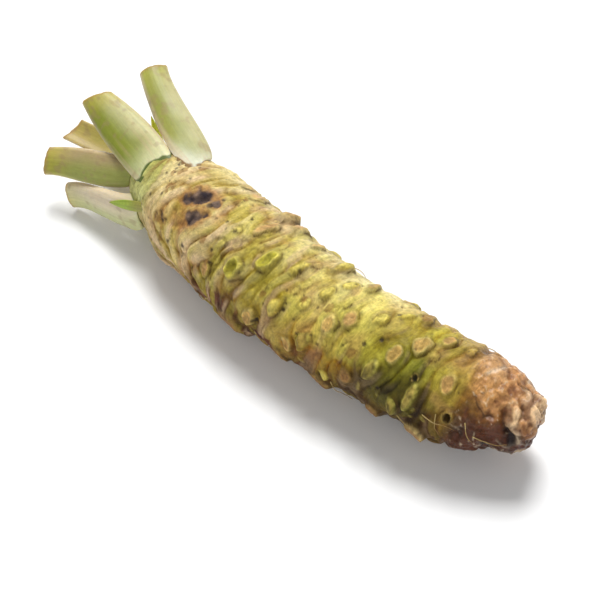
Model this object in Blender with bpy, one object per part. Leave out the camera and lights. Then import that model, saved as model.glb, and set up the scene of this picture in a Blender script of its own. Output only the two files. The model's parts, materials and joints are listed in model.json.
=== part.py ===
"""A fresh wasabi root: one knobbly rhizome, its five trimmed leaf stalks and two small buds.

Metres, +Z up. The root lies on its side on the plane z = 0, its long axis along X, with the
leaf crown towards -X. The origin is the middle of its footprint, on that plane.

Every piece starts as a UV sphere. Its latitude runs along the piece, its longitude runs round
it, and a function of the two says where each vertex goes, so each piece is one closed body.
"""

import math

import bmesh
import bpy
import numpy as np
from mathutils import Vector

# ---------------------------------------------------------------- driving dimensions
# The collar is where the lowest leaf stalk joins. Distances along the root start there.
COLLAR_X = -0.0454
COLLAR_Y = -0.0026
COLLAR_HEIGHT = 0.0188  # height of the centre line at the collar
END_HEIGHT = 0.0188  # and at the broken end
LENGTH = 0.152  # along the centre line, from the collar to the broken end
BOW_RADIUS = 0.320  # the centre line is an arc of this radius, which bends both ends to +Y
BOW_CENTRE = 0.065  # how far from the collar that arc runs along X

COLLAR_RADIUS = 0.0171
CROWN_RISE = 0.0195  # how far the growing point stands above the collar
CROWN_POWER = 6.0  # 2 would be a parabola; more is flatter on top
SEAT_GAP = 0.0004  # between the crown and each stalk

# Plain body, without scars: (distance from the collar, radius).
GIRTH = [
    (0.000, 0.0171), (0.008, 0.0178), (0.018, 0.0182), (0.035, 0.0185), (0.051, 0.0183),
    (0.070, 0.0174), (0.092, 0.0170), (0.110, 0.0167), (0.125, 0.0161), (0.133, 0.0150),
    (0.141, 0.0124), (0.1470, 0.0104), (0.1505, 0.0084), (0.1518, 0.0044), (0.1520, 0.0000),
]  # fmt: skip

# Leaf scars and knobs that shape the outline: (distance, angle, half length round, half width
# along, height), in mm and degrees. The angle is 0 at +Y, 90 on top and 270 underneath.
# The last four are what the root rests on.
SCARS = [
    (9, 203, 6.0, 6.0, 0.9),
    (20, 44, 3.4, 2.4, 1.4), (27, 48, 4.0, 3.4, 1.8), (41, 46, 4.6, 3.4, 3.0),
    (42, 83, 3.4, 2.4, 1.2), (49, 54, 3.6, 3.2, 2.2), (44, 135, 3.8, 2.4, 1.6),
    (52, 109, 4.2, 2.4, 1.5), (34, 157, 3.2, 2.6, 1.2), (29, 188, 3.4, 2.6, 1.2),
    (46, 203, 6.0, 5.4, 3.6), (55, 172, 3.4, 3.2, 1.4), (63, 142, 3.2, 2.4, 1.6),
    (62, 95, 3.4, 2.0, 1.1), (67, 203, 3.4, 3.0, 2.0), (72, 64, 3.6, 2.6, 1.2),
    (71, 174, 2.8, 2.4, 1.2), (76, 158, 3.0, 2.2, 1.6), (75, 97, 3.2, 2.0, 1.1),
    (79, 76, 2.8, 2.4, 1.0), (84, 64, 3.4, 2.4, 0.9), (82, 127, 3.2, 2.6, 1.6),
    (84, 204, 3.8, 4.4, 2.6), (87, 112, 3.0, 2.6, 1.3), (93, 168, 3.2, 2.8, 1.2),
    (95, 94, 3.0, 2.2, 1.1), (100, 147, 3.4, 2.4, 1.9), (101, 72, 2.8, 2.4, 1.2),
    (103, 203, 3.6, 2.8, 2.4), (105, 121, 3.2, 2.6, 1.6), (106, 56, 3.4, 2.6, 1.0),
    (110, 172, 2.8, 2.4, 1.7), (111, 98, 3.2, 2.6, 1.2), (115, 150, 4.2, 2.4, 1.9),
    (117, 77, 2.8, 2.6, 1.2), (118, 203, 3.8, 3.4, 3.2), (124, 123, 3.4, 2.8, 1.4),
    (127, 156, 3.6, 3.0, 1.6), (131, 207, 4.4, 5.4, 2.0), (134, 72, 5.6, 4.8, 1.8),
    (140, 52, 4.0, 3.2, 1.8), (142, 156, 4.2, 3.8, 1.6), (149, 45, 3.6, 3.0, 1.0),
    (145, 128, 3.4, 2.6, 1.6), (148, 100, 3.8, 2.6, 1.6), (132, 10, 4.6, 4.0, 1.6),
    (14, 345, 3.6, 2.4, 1.3), (29, 12, 3.6, 2.4, 1.4), (34, 320, 3.4, 2.4, 1.4),
    (50, 345, 3.4, 2.4, 1.3), (60, 20, 3.2, 2.4, 1.3), (66, 310, 3.4, 2.4, 1.4),
    (80, 0, 3.2, 2.4, 1.4), (94, 335, 3.4, 2.4, 1.5), (97, 25, 3.2, 2.2, 1.2),
    (112, 5, 3.4, 2.4, 1.3), (118, 335, 3.4, 2.6, 1.4), (62, 240, 3.2, 2.4, 1.2),
    (90, 235, 3.2, 2.4, 1.3), (16, 235, 3.4, 2.6, 1.2), (78, 270, 3.4, 2.6, 1.0),
    (28, 252, 4.6, 3.6, 1.8), (31, 287, 4.6, 3.6, 1.8),
    (121, 251, 5.0, 4.2, 3.9), (125, 288, 5.0, 4.2, 4.0),
]  # fmt: skip

SWELL = 0.0003  # height of the body's slow lumps
CAP_SHARE = 0.15  # the share of a stalk's rings that closes each of its ends
BUD_CAP = 0.1  # and the share that closes a bud's base
KNEE = 0.4  # how far along its chord a stalk's curve is pulled towards its first direction
ROLL_END = 0.6  # the share of its length over which a stalk turns about itself
FOOT_SLOPE = 0.3  # how steeply, at the least, a stalk's or a bud's sides leave the crown
MM = 0.001


# ---------------------------------------------------------------- shape of the rhizome
def smooth_line(stations, share):
    """Points on a smooth curve through the stations, at these shares of its length."""
    points = np.array(stations, float)
    ends = np.vstack([2 * points[0] - points[1], points, 2 * points[-1] - points[-2]])
    steps = np.linalg.norm(np.diff(points, axis=0), axis=1)
    reach = np.concatenate([[0.0], np.cumsum(steps)])
    place = np.interp(share * reach[-1], reach, np.arange(len(points)))
    i = np.clip(place.astype(int), 0, len(points) - 2)
    t = (place - i)[:, None]
    a, b, c, d = (ends[i + k] for k in range(4))
    return 0.5 * (
        2 * b + (c - a) * t + (2 * a - 5 * b + 4 * c - d) * t**2
        + (3 * b - a - 3 * c + d) * t**3
    )  # fmt: skip


def dome(radius):
    """How far the crown stands above the collar at this radius: a flat-topped cone."""
    return CROWN_RISE * (1 - (radius / COLLAR_RADIUS) ** CROWN_POWER)


def centre_line(s):
    """The middle of the rhizome at distance s from the collar, with its forward and side axes.

    An arc in plan, which goes on straight past the collar into the crown.
    """
    turn = (np.maximum(s, 0) - BOW_CENTRE) / BOW_RADIUS
    start = -BOW_CENTRE / BOW_RADIUS
    level = np.zeros_like(turn)
    forward = np.stack([np.cos(turn), np.sin(turn), level], -1)
    sideways = np.stack([-np.sin(turn), np.cos(turn), level], -1)
    x = COLLAR_X + BOW_RADIUS * (np.sin(turn) - math.sin(start))
    y = COLLAR_Y + BOW_RADIUS * (math.cos(start) - np.cos(turn))
    z = COLLAR_HEIGHT + (END_HEIGHT - COLLAR_HEIGHT) * np.clip(s / LENGTH, 0, 1)
    middle = np.stack([x, y, z], -1) + np.minimum(s, 0)[..., None] * forward
    return middle, forward, sideways


def swell(s, theta):
    """Slow lumps of the body: a few long waves along it and round it, from -1 to 1."""
    turns = 2 * math.pi * s
    return (
        0.40 * np.sin(turns / 0.047 + theta)
        + 0.30 * np.sin(turns / 0.031 - 2 * theta + 1.3)
        + 0.30 * np.sin(turns / 0.021 + 3 * theta + 4.0)
    )


def unit(vectors):
    """The same directions, each of length 1."""
    return vectors / np.linalg.norm(vectors, axis=-1, keepdims=True)


def smooth_step(low, high, value):
    """0 below low, 1 above high, and a smooth rise between them."""
    t = np.clip((value - low) / (high - low), 0, 1)
    return t * t * (3 - 2 * t)


def scar_height(s, theta, radius):
    """Raised leaf scars: oval plateaus, the highest one winning where two meet."""
    height = np.zeros_like(s)
    for along, angle, half_round, half_along, rise in SCARS:
        turn = (theta - math.radians(angle) + math.pi) % (2 * math.pi) - math.pi
        across = turn * radius / (half_round * MM)
        away = np.hypot(across, (s - along * MM) / (half_along * MM))
        height = np.maximum(height, rise * MM * (1 - smooth_step(0.45, 1.3, away)))
    return height


def rhizome_surface(along, turn):
    """The rhizome's skin. along runs 0 to 1 from the growing point to the broken end."""
    theta = -turn  # angles on the skin run the other way round, seen from the crown
    rings = COLLAR_RADIUS * np.linspace(0, 1, 13)
    outline = np.vstack([np.stack([-dome(rings), rings], -1), GIRTH[1:]])
    s, radius = smooth_line(outline, along).T
    before, after = (smooth_line(outline, np.clip(along + d, 0, 1)) for d in (-0.01, 0.01))
    tangent = unit(after - before)
    body = smooth_step(0.0, 0.010, s)
    lift = body * (SWELL * swell(s, theta) + scar_height(s, theta, radius))
    s = s - lift * tangent[:, 1]
    radius = np.maximum(radius + lift * tangent[:, 0], 0)
    middle, _, sideways = centre_line(s)
    point = middle + (radius * np.cos(theta))[:, None] * sideways
    point[:, 2] = np.maximum(point[:, 2] + radius * np.sin(theta), 0)  # flat feet
    return point


# ---------------------------------------------------------------- leaf stalks and buds
def crown_frame():
    """The middle of the collar, and its axes: outwards, sideways (+Y) and up."""
    middle, forward, sideways = centre_line(np.array(0.0))
    return middle, -forward, sideways, np.array([0.0, 0.0, 1.0])


def seat_height(radius):
    """Height above the collar, on a surface just clear of the crown all over."""
    return dome(np.maximum(radius - SEAT_GAP, 0)) + SEAT_GAP


def seat_point(radius, angle):
    """The point on that surface at this radius and angle."""
    middle, out, side, up = crown_frame()
    turn = math.radians(angle)
    ring = radius * (math.cos(turn) * side + math.sin(turn) * up)
    return middle + seat_height(radius) * out + ring


def seat_lift(points):
    """How far each point has to move along the crown's axis to lie on that surface."""
    middle, out, _, _ = crown_frame()
    offset = points - middle
    lift = offset @ out
    radius = np.linalg.norm(offset - lift[:, None] * out, axis=1)
    return seat_height(radius) - lift


def across_path(direction, heading):
    """The part of a direction that is square to the path, of length 1."""
    return unit(direction - np.sum(direction * heading, axis=-1, keepdims=True) * heading)


def between(ends, share):
    """From the first value to the second, in proportion to the share."""
    return ends[0] + (ends[1] - ends[0]) * share


def stalk_surface(shape):
    """A channelled stalk from the crown to its cut end, as a function for reshaped_sphere."""
    _, out, side, up = crown_frame()
    base = seat_point(shape["seat_radius"], shape["angle"])
    tip = np.array(shape["tip"])
    chord = tip - base
    reach = np.linalg.norm(chord)
    knee = base + KNEE * reach * unit(out + shape["lean"] * chord / reach)
    knee = knee + MM * np.array(shape["bow"])
    angle = math.radians(shape["angle"])
    back = math.cos(angle) * side + math.sin(angle) * up

    def surface(along, turn):
        run = stalk_run(along)
        spread = cap_spread(along)
        t = run[:, None]
        middle = (1 - t) ** 2 * base + 2 * t * (1 - t) * knee + t**2 * tip
        heading = unit(2 * (1 - t) * (knee - base) + 2 * t * (tip - knee))
        outward = across_path(back, heading)
        roll = np.radians(between(shape["roll"], smooth_step(0, ROLL_END, run)))[:, None]
        outward = np.cos(roll) * outward + np.sin(roll) * np.cross(heading, outward)
        sideways = np.cross(heading, outward)
        channel = between(shape["channel"], run)
        x, y = crescent(turn, channel)
        width = between(shape["width"][::-1], (1 - run) ** shape["flare"])
        width = width + shape["belly"] * np.sin(math.pi * run)
        across = 0.5 * width * spread * x
        core = channel / 2  # the caps close on the middle of the section
        depth = between(shape["thick"], run) * (core + spread * (y - core))
        ahead = run * shape["slant"] * across
        point = middle + across[:, None] * sideways + depth[:, None] * outward
        point = point + ahead[:, None] * heading
        lift = seat_lift(point)
        lift = np.maximum((1 - run) ** 3 * lift, lift + FOOT_SLOPE * reach * run)
        return point + lift[:, None] * out

    return surface


def stalk_run(along):
    """Share of the stalk's length: 0 over the base cap, 1 over the cut face."""
    return np.clip((along - CAP_SHARE) / (1 - 2 * CAP_SHARE), 0, 1)


def cap_spread(along):
    """Share of the section's size: it opens over the base cap and closes over the cut face."""
    return np.clip(np.minimum(along, 1 - along) / CAP_SHARE, 0, 1)


def crescent(turn, channel):
    """A stalk's cross-section: a round back and a hollow front, for a half width of 1."""
    x = np.cos(turn)
    bulge = np.sin(turn)
    back = 0.5 * np.abs(bulge) ** 0.85
    front = -0.5 * np.abs(bulge) ** 0.7 + channel * bulge**2
    return x, np.where(bulge > 0, back, front)


def bud_surface(shape):
    """A small pointed bud: a flattened spindle from its seat to its tip."""
    _, out, side, up = crown_frame()
    base = seat_point(shape["seat_radius"], shape["angle"])
    tip = np.array(shape["tip"])
    angle = math.radians(shape["angle"])
    heading = unit(tip - base)
    reach = np.linalg.norm(tip - base)
    outward = across_path(math.cos(angle) * side + math.sin(angle) * up, heading)
    sideways = np.cross(heading, outward)

    def surface(along, turn):
        run = np.clip((along - BUD_CAP) / (1 - BUD_CAP), 0, 1)
        fat = np.clip(along / BUD_CAP, 0, 1) * (1 - run**1.6) * (0.75 + 0.9 * run)
        point = base + run[:, None] * (tip - base)
        point = point + (0.5 * shape["width"] * fat * np.cos(turn))[:, None] * sideways
        point = point + (0.5 * shape["thick"] * fat * np.sin(turn))[:, None] * outward
        lift = seat_lift(point)
        lift = np.maximum((1 - run) ** 4 * lift, lift + FOOT_SLOPE * reach * run)
        return point + lift[:, None] * out

    return surface


# ---------------------------------------------------------------- building
# Each stalk: where its seat is on the crown (angle in degrees, radius) and where its cut is (tip).
# It sets off between the crown's axis and its tip, and a larger lean is nearer to the tip. Bow
# pushes its knee by these mm. Pairs run from foot to cut: width and thickness of the section,
# depth of its hollow as a share, and roll, the turn of the section in degrees. Belly widens the
# middle, flare is how fast the width of the foot is lost, and slant tilts the cut.
STALKS = {
    "leaf_stalk_front": dict(
        angle=116, seat_radius=0.0115, tip=(-0.0936, 0.0031, 0.0334), lean=0.4, bow=(0.5, 1.2, 0.6),
        width=(0.0152, 0.0108), belly=0.0032, flare=0.8, thick=(0.0064, 0.0066),
        channel=(0.60, 0.35), slant=-0.42, roll=(0, 0),
    ),
    "leaf_stalk_upper": dict(
        angle=65, seat_radius=0.0140, tip=(-0.0868, 0.0248, 0.0360), lean=3.0, bow=(0, 0, 0),
        width=(0.0138, 0.0104), belly=0.0, flare=3.0, thick=(0.0050, 0.0064),
        channel=(0.60, 0.40), slant=0.15, roll=(10, -20),
    ),
    "leaf_stalk_left": dict(
        angle=149, seat_radius=0.0081, tip=(-0.0980, -0.0196, 0.0159), lean=2.0, bow=(0, 0, 0),
        width=(0.0102, 0.0100), belly=0.0006, flare=1.0, thick=(0.0042, 0.0058),
        channel=(0.30, 0.40), slant=-0.25, roll=(0, 0),
    ),
    "leaf_stalk_lower": dict(
        angle=189, seat_radius=0.0130, tip=(-0.0869, -0.0197, 0.0061), lean=2.0, bow=(0, -1, 0),
        width=(0.0106, 0.0102), belly=0.0008, flare=1.5, thick=(0.0040, 0.0056),
        channel=(0.55, 0.60), slant=-0.12, roll=(0, 0),
    ),
    "leaf_stalk_back": dict(
        angle=300, seat_radius=0.0115, tip=(-0.1056, -0.0006, 0.0130), lean=1.0, bow=(0, 0, 0),
        width=(0.0110, 0.0094), belly=0.0, flare=1.5, thick=(0.0046, 0.0054),
        channel=(0.50, 0.50), slant=0.35, roll=(0, 0),
    ),
}  # fmt: skip

BUDS = {
    "young_leaf": dict(
        angle=30, seat_radius=0.0050, tip=(-0.0784, 0.0141, 0.0272), width=0.0048, thick=0.0036,
    ),
    "side_bud": dict(
        angle=163, seat_radius=0.0160, tip=(-0.0666, -0.0194, 0.0164), width=0.0044, thick=0.0014,
    ),
}  # fmt: skip

COLOURS = {
    "rhizome": (0.48, 0.45, 0.14, 0.55),
    "stalk": (0.60, 0.68, 0.33, 0.38),
    "bud": (0.45, 0.55, 0.08, 0.45),
}


def finish(kind):
    """A plain matt or waxy skin for one kind of piece."""
    *colour, roughness = COLOURS[kind]
    material = bpy.data.materials.get(kind) or bpy.data.materials.new(kind)
    material.use_nodes = True
    shader = material.node_tree.nodes["Principled BSDF"]
    shader.inputs["Base Color"].default_value = (*colour, 1)
    shader.inputs["Roughness"].default_value = roughness
    shader.inputs["Metallic"].default_value = 0.0
    return material


def reshaped_sphere(name, surface, rings, segments, kind, collection):
    """A UV sphere whose vertices go where surface(share along, angle round) says."""
    mesh = bpy.data.meshes.new(name)
    ball = bmesh.new()
    bmesh.ops.create_uvsphere(ball, u_segments=segments, v_segments=rings, radius=1)
    ball.to_mesh(mesh)
    ball.free()
    points = np.empty(len(mesh.vertices) * 3)
    mesh.vertices.foreach_get("co", points)
    x, y, z = points.reshape(-1, 3).T
    along = np.arccos(np.clip(z, -1, 1)) / math.pi
    placed = surface(along, np.arctan2(y, x))
    middle = placed.mean(axis=0)
    mesh.vertices.foreach_set("co", (placed - middle).ravel())
    mesh.materials.append(finish(kind))
    mesh.shade_smooth()
    mesh.set_sharp_from_angle(angle=math.radians(40))
    piece = bpy.data.objects.new(name, mesh)
    piece.location = Vector(middle)
    collection.objects.link(piece)
    return piece


def main():
    for old in list(bpy.data.objects):
        bpy.data.objects.remove(old, do_unlink=True)
    collection = bpy.data.collections.new("wasabi_root")
    bpy.context.scene.collection.children.link(collection)
    reshaped_sphere("rhizome", rhizome_surface, 76, 52, "rhizome", collection)
    for name, shape in STALKS.items():
        reshaped_sphere(name, stalk_surface(shape), 20, 22, "stalk", collection)
    for name, shape in BUDS.items():
        reshaped_sphere(name, bud_surface(shape), 12, 12, "bud", collection)


main()
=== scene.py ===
# %% [markdown]
# # A fresh wasabi root, finished
#
# What is sold as a wasabi root is a rhizome: a thick stem that creeps along a stream bed and
# sheds its leaves one after another. Each fallen leaf leaves a knobbly scar, the folds of skin
# between the scars flow round them like wood grain round knots, and the newest leaf stalks still
# stand at one end, cut short.
#
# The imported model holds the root's size and rough shape. This lesson builds the finished skin
# over it, a piece at a time, as surfaces worked out with numpy.

# %% Open the frame
import json
import math

import bpy
import numpy as np
from mathutils import Matrix

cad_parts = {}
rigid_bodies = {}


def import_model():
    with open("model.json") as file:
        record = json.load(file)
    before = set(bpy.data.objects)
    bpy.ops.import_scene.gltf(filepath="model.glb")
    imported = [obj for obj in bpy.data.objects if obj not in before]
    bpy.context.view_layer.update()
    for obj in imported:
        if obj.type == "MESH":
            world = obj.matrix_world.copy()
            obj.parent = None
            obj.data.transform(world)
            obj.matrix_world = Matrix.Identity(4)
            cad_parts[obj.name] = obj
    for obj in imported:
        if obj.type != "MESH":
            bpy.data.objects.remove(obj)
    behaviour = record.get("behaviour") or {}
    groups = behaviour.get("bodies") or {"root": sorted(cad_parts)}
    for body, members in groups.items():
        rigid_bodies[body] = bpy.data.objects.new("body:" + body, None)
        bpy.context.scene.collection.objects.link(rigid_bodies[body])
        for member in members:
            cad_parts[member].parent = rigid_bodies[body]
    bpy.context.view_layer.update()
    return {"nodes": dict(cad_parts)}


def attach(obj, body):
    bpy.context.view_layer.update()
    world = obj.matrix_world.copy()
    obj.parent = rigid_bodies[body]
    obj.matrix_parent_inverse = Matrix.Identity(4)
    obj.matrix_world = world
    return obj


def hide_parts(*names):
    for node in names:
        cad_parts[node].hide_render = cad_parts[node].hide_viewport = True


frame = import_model()
print("CAD nodes:", sorted(frame["nodes"]))

# %% [markdown]
# ## Where a point on the root is
#
# A place on the skin has two numbers: how far it is along the root, and its angle round it. The
# root could be a bent cylinder moved with modifiers, but then a scar's place would be hard to
# say. With a centre line and two numbers, every scar, fold and spot is put where it grew.
#
# The centre line is the same arc as in the CAD model. Distances along it start at the collar,
# where the lowest leaf stalk joins. The angle is 0 on the far side, 90 on top and 270 below.

# %% The centre line
MM = 0.001
COLLAR = np.array([-0.0454, -0.0026, 0.0188])
LENGTH = 0.152
BOW_RADIUS = 0.320
BOW_CENTRE = 0.065
COLLAR_RADIUS = 0.0171
CROWN_RISE = 0.0195
CROWN_POWER = 6.0
UP = np.array([0.0, 0.0, 1.0])


def centre_line(s):
    """A point on an arc in plan, and the arc's forward and side axes, at each distance s.

    The angle turned is distance over radius. Before the collar the line goes straight on.
    """
    turn = (np.maximum(s, 0) - BOW_CENTRE) / BOW_RADIUS
    start = -BOW_CENTRE / BOW_RADIUS
    level = np.zeros_like(turn)
    forward = np.stack([np.cos(turn), np.sin(turn), level], -1)
    sideways = np.stack([-np.sin(turn), np.cos(turn), level], -1)
    x = BOW_RADIUS * (np.sin(turn) - math.sin(start))
    y = BOW_RADIUS * (math.cos(start) - np.cos(turn))
    middle = COLLAR + np.stack([x, y, level], -1) + np.minimum(s, 0)[..., None] * forward
    return middle, forward, sideways


print("far end of the centre line in mm:", (1000 * centre_line(np.array(LENGTH))[0]).round(1))

# %% The outline that is turned round the centre line
GIRTH = [
    (0.000, 0.0171), (0.008, 0.0178), (0.018, 0.0182), (0.035, 0.0185), (0.051, 0.0183),
    (0.070, 0.0174), (0.092, 0.0170), (0.110, 0.0167), (0.125, 0.0161), (0.133, 0.0150),
    (0.141, 0.0124), (0.1470, 0.0104), (0.1505, 0.0084), (0.1518, 0.0044), (0.1520, 0.0000),
]  # fmt: skip


def dome(radius):
    """Height of the crown above the collar: a flat-topped cone, 1 minus a power of the radius."""
    return CROWN_RISE * (1 - (radius / COLLAR_RADIUS) ** CROWN_POWER)


def smooth_line(stations, share):
    """Points on a smooth curve through the stations, at these shares of its length.

    Between two stations it is the cubic that also heads for their neighbours.
    """
    points = np.array(stations, float)
    ends = np.vstack([2 * points[0] - points[1], points, 2 * points[-1] - points[-2]])
    steps = np.linalg.norm(np.diff(points, axis=0), axis=1)
    reach = np.concatenate([[0.0], np.cumsum(steps)])
    place = np.interp(share * reach[-1], reach, np.arange(len(points)))
    i = np.clip(place.astype(int), 0, len(points) - 2)
    t = (place - i)[:, None]
    a, b, c, d = (ends[i + k] for k in range(4))
    return 0.5 * (
        2 * b + (c - a) * t + (2 * a - 5 * b + 4 * c - d) * t**2
        + (3 * b - a - 3 * c + d) * t**3
    )  # fmt: skip


rings = COLLAR_RADIUS * np.linspace(0, 1, 13)
OUTLINE = np.vstack([np.stack([-dome(rings), rings], -1), GIRTH[1:]])
print("the outline has", len(OUTLINE), "stations, from the growing point to the broken end")

# %% [markdown]
# ## Small tools: blends and natural unevenness
#
# Nothing on a root is straight or even. Blender's noise textures only change the shading here, so
# the shape gets its unevenness from a lattice of random numbers, blended smoothly between its
# corners. It is seeded, so the root is the same each time.

# %% Blends
def smooth_step(low, high, value):
    """0 below low, 1 above high, and a smooth rise between them: t squared times 3 minus 2t."""
    t = np.clip((value - low) / (high - low), 0, 1)
    return t * t * (3 - 2 * t)


def band(centre, width, value):
    """1 at the centre and 0 far from it: a bell curve of this half width."""
    return np.exp(-(((value - centre) / width) ** 2))


def mix(first, second, mask):
    """The first value where the mask is 0, the second where it is 1. Three values are a paint."""
    if 3 in (np.shape(first)[-1:] + np.shape(second)[-1:]):
        mask = np.asarray(mask)[..., None]
    return first + (second - first) * mask


def unit(vectors):
    """The same directions, each of length 1."""
    return vectors / np.linalg.norm(vectors, axis=-1, keepdims=True)


def across_path(direction, heading):
    """The part of a direction that is square to the path, of length 1."""
    return unit(direction - np.sum(direction * heading, axis=-1, keepdims=True) * heading)


# %% Unevenness
def unevenness(points, size, seed):
    """Smooth random values from -1 to 1: random numbers on a lattice of this cell size.

    Inside a cell, the eight corners are blended by how near each one is.
    """
    table = np.random.default_rng(seed).uniform(-1, 1, (32, 32, 32))
    place = points / size
    cell = np.floor(place).astype(int)
    t = smooth_step(0, 1, place - cell)
    total = np.zeros(points.shape[:-1])
    for corner in np.ndindex(2, 2, 2):
        i, j, k = ((cell[..., axis] + corner[axis]) % 32 for axis in range(3))
        total += np.prod(np.where(corner, t, 1 - t), axis=-1) * table[i, j, k]
    return total


print("unevenness at three places:", unevenness(np.eye(3), 0.7, 1).round(2))


# %% Paints are given as seen on a screen, from 0 to 255
def paint(red, green, blue):
    """A screen colour as the light it stands for, which is what a shader mixes."""
    shares = np.array([red, green, blue]) / 255
    return np.where(shares <= 0.04045, shares / 12.92, ((shares + 0.055) / 1.055) ** 2.4)


def layered(colour, *layers):
    """Lays paints over a colour, one after another: each is a screen colour and how much shows."""
    for shade, amount in layers:
        colour = mix(colour, paint(*shade), amount)
    return colour


print("a leaf green as light:", paint(120, 150, 60).round(3))


# %% [markdown]
# ## From a grid of points to a mesh
#
# Every piece is a grid: rows run along it, columns go round it. The first row and the last are
# single points, so both ends close in a fan. A piece could also be lofted with curves, but a grid
# keeps its two numbers at every vertex, which the colours need later.

# %% The mesh maker
def per_vertex(grid):
    """The values of a grid in the mesh's vertex order: one for each end, all for the rest."""
    ends = [grid[:1, 0], grid[-1:, 0]]
    return np.concatenate([ends[0], grid[1:-1].reshape(-1, *grid.shape[2:]), ends[1]])


def grid_faces(rows, columns):
    """Quads between the rows, and a fan of triangles at each end."""
    i = 1 + np.arange(rows - 3)[:, None] * columns
    j = np.arange(columns)[None]
    k = (j + 1) % columns
    quads = np.stack([i + j, i + k, i + columns + k, i + columns + j], -1).reshape(-1, 4)
    last = (rows - 2) * columns + 1
    start = np.stack([0 * j, 1 + k, 1 + j], -1)[0]
    end = np.stack([0 * j + last, last - columns + j, last - columns + k], -1)[0]
    return quads, np.concatenate([start, end])


def volume(points, faces):
    """Six times it is the sum of each triangle's corners' triple product."""
    a, b, c = (points[faces[:, k]] for k in range(3))
    return np.einsum("ij,ij->i", a, np.cross(b, c)).sum() / 6


def make_piece(name, grid, **values):
    """An object from a grid of points, with the named values kept at its vertices."""
    points = per_vertex(grid)
    assert np.isfinite(points).all(), f"{name} has points that aren't numbers"
    quads, fans = grid_faces(*grid.shape[:2])
    halves = np.concatenate([quads[:, [0, 1, 2]], quads[:, [0, 2, 3]], fans])
    if volume(points, halves) < 0:
        quads, fans = quads[:, ::-1], fans[:, ::-1]
    mesh = bpy.data.meshes.new(name)
    mesh.from_pydata(points.tolist(), [], quads.tolist() + fans.tolist())
    mesh.shade_smooth()
    for label, value in values.items():
        keep_value(mesh, label, per_vertex(value))
    piece = bpy.data.objects.new(name, mesh)
    bpy.context.scene.collection.objects.link(piece)
    print(f"{name}: {2 * len(quads) + len(fans)} triangles")
    return piece


def keep_value(mesh, label, value):
    """Stores a number, a direction or a colour at every vertex, for the material to read."""
    if value.ndim == 1:
        kept, field = mesh.attributes.new(label, "FLOAT", "POINT"), "value"
    elif label == "grain":
        kept, field = mesh.attributes.new(label, "FLOAT_VECTOR", "POINT"), "vector"
    else:
        kept, field = mesh.color_attributes.new(label, "FLOAT_COLOR", "POINT"), "color"
        value = np.column_stack([value, np.ones(len(value))])
    kept.data.foreach_set(field, value.ravel())


# %% [markdown]
# ## The grid of the skin
#
# The rhizome's own grid is made first, because every scar, fold and spot is worked out for all of
# its points at once. Its rows are closest where the light falls on scars.

# %% The grid of the rhizome
ROWS, COLUMNS = 452, 214
CROWN_ROWS, CROWN_SHARE = 18, 0.11
share = np.concatenate([
    np.linspace(0, CROWN_SHARE, CROWN_ROWS)[:-1],
    np.linspace(CROWN_SHARE, 1, ROWS - CROWN_ROWS + 1),
])  # fmt: skip
along_line, radius_line = smooth_line(OUTLINE, share).T
before, after = (smooth_line(OUTLINE, np.clip(share + d, 0, 1)) for d in (-0.006, 0.006))
tangent = unit(after - before)
theta = np.linspace(0, 2 * math.pi, COLUMNS, endpoint=False)[None] + np.zeros((ROWS, 1))
s = along_line[:, None] + np.zeros((1, COLUMNS))
radius = np.maximum(radius_line, 0)[:, None] + np.zeros((1, COLUMNS))
angle = np.degrees(theta)
around = radius[..., None] * np.stack([np.cos(theta), np.sin(theta)], -1) / MM
print("grid:", s.shape, "one step along is", round(1000 * (s[200, 0] - s[199, 0]), 2), "mm")


# %% The plain skin, and the spots where unevenness is read
def on_skin(s, theta, radius):
    """The point at this radius and angle from the centre line, never below the table."""
    middle, _, sideways = centre_line(s)
    ring = np.cos(theta)[..., None] * sideways + np.sin(theta)[..., None] * UP
    point = middle + radius[..., None] * ring
    point[..., 2] = np.maximum(point[..., 2], 0)
    return point


spots = on_skin(s, theta, radius)


def uneven(size, seed):
    """The unevenness all over the skin, with cells of this size in mm."""
    return unevenness(spots, size * MM, seed)


def turn_from(theta, angle):
    """The turn from an angle in degrees to theta, between minus and plus half a turn."""
    return (theta - math.radians(angle) + math.pi) % (2 * math.pi) - math.pi


# %% Where the skin's points lie in an oval
LEAST_RADIUS = 4


def place_in(oval, down=0, over=0):
    """(across, away): the distance past the middle along the root, and the share of the oval.

    away is 0 in the middle and 1 on the edge: the longer side of a right angle whose two legs
    are the distances along the oval's axes, each as a share of its half size. The points are
    first moved down the root and over round it. Near the ends a least radius keeps ovals whole.
    """
    along, angle, half_round, half_along, tilt = oval[:5]
    past = (s + down) / MM - along
    beside = turn_from(theta + over, angle) * np.maximum(radius / MM, LEAST_RADIUS)
    lean = math.radians(tilt)
    across = past * math.cos(lean) + beside * math.sin(lean)
    length = past * math.sin(lean) - beside * math.cos(lean)
    return across, np.hypot(across / half_along, length / half_round)


def inside(ovals, full, none, ragged):
    """1 inside the ovals and 0 outside. The edge runs between two shares of their size."""
    found = np.zeros_like(s)
    for oval in ovals:
        found = np.maximum(found, 1 - smooth_step(full, none, place_in(oval)[1] + ragged))
    return found


# %% [markdown]
# ## Scars, knobs and buds
#
# A leaf scar on the real root is a low stump: an oval with steep sides, a raised rim and a dished
# face, tan and corky when old, lime green when the leaf has just come away. Sleeping buds are
# rounded, and small warts stand between. One height curve with a few settings makes them all: it
# takes how far a point is from the middle, as a share of the oval's size, and gives the height.
#
# The scars of the side that shows were placed one at a time, because their pattern is what makes
# this root this root. Displacing the skin by a texture would put them anywhere.

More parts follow.
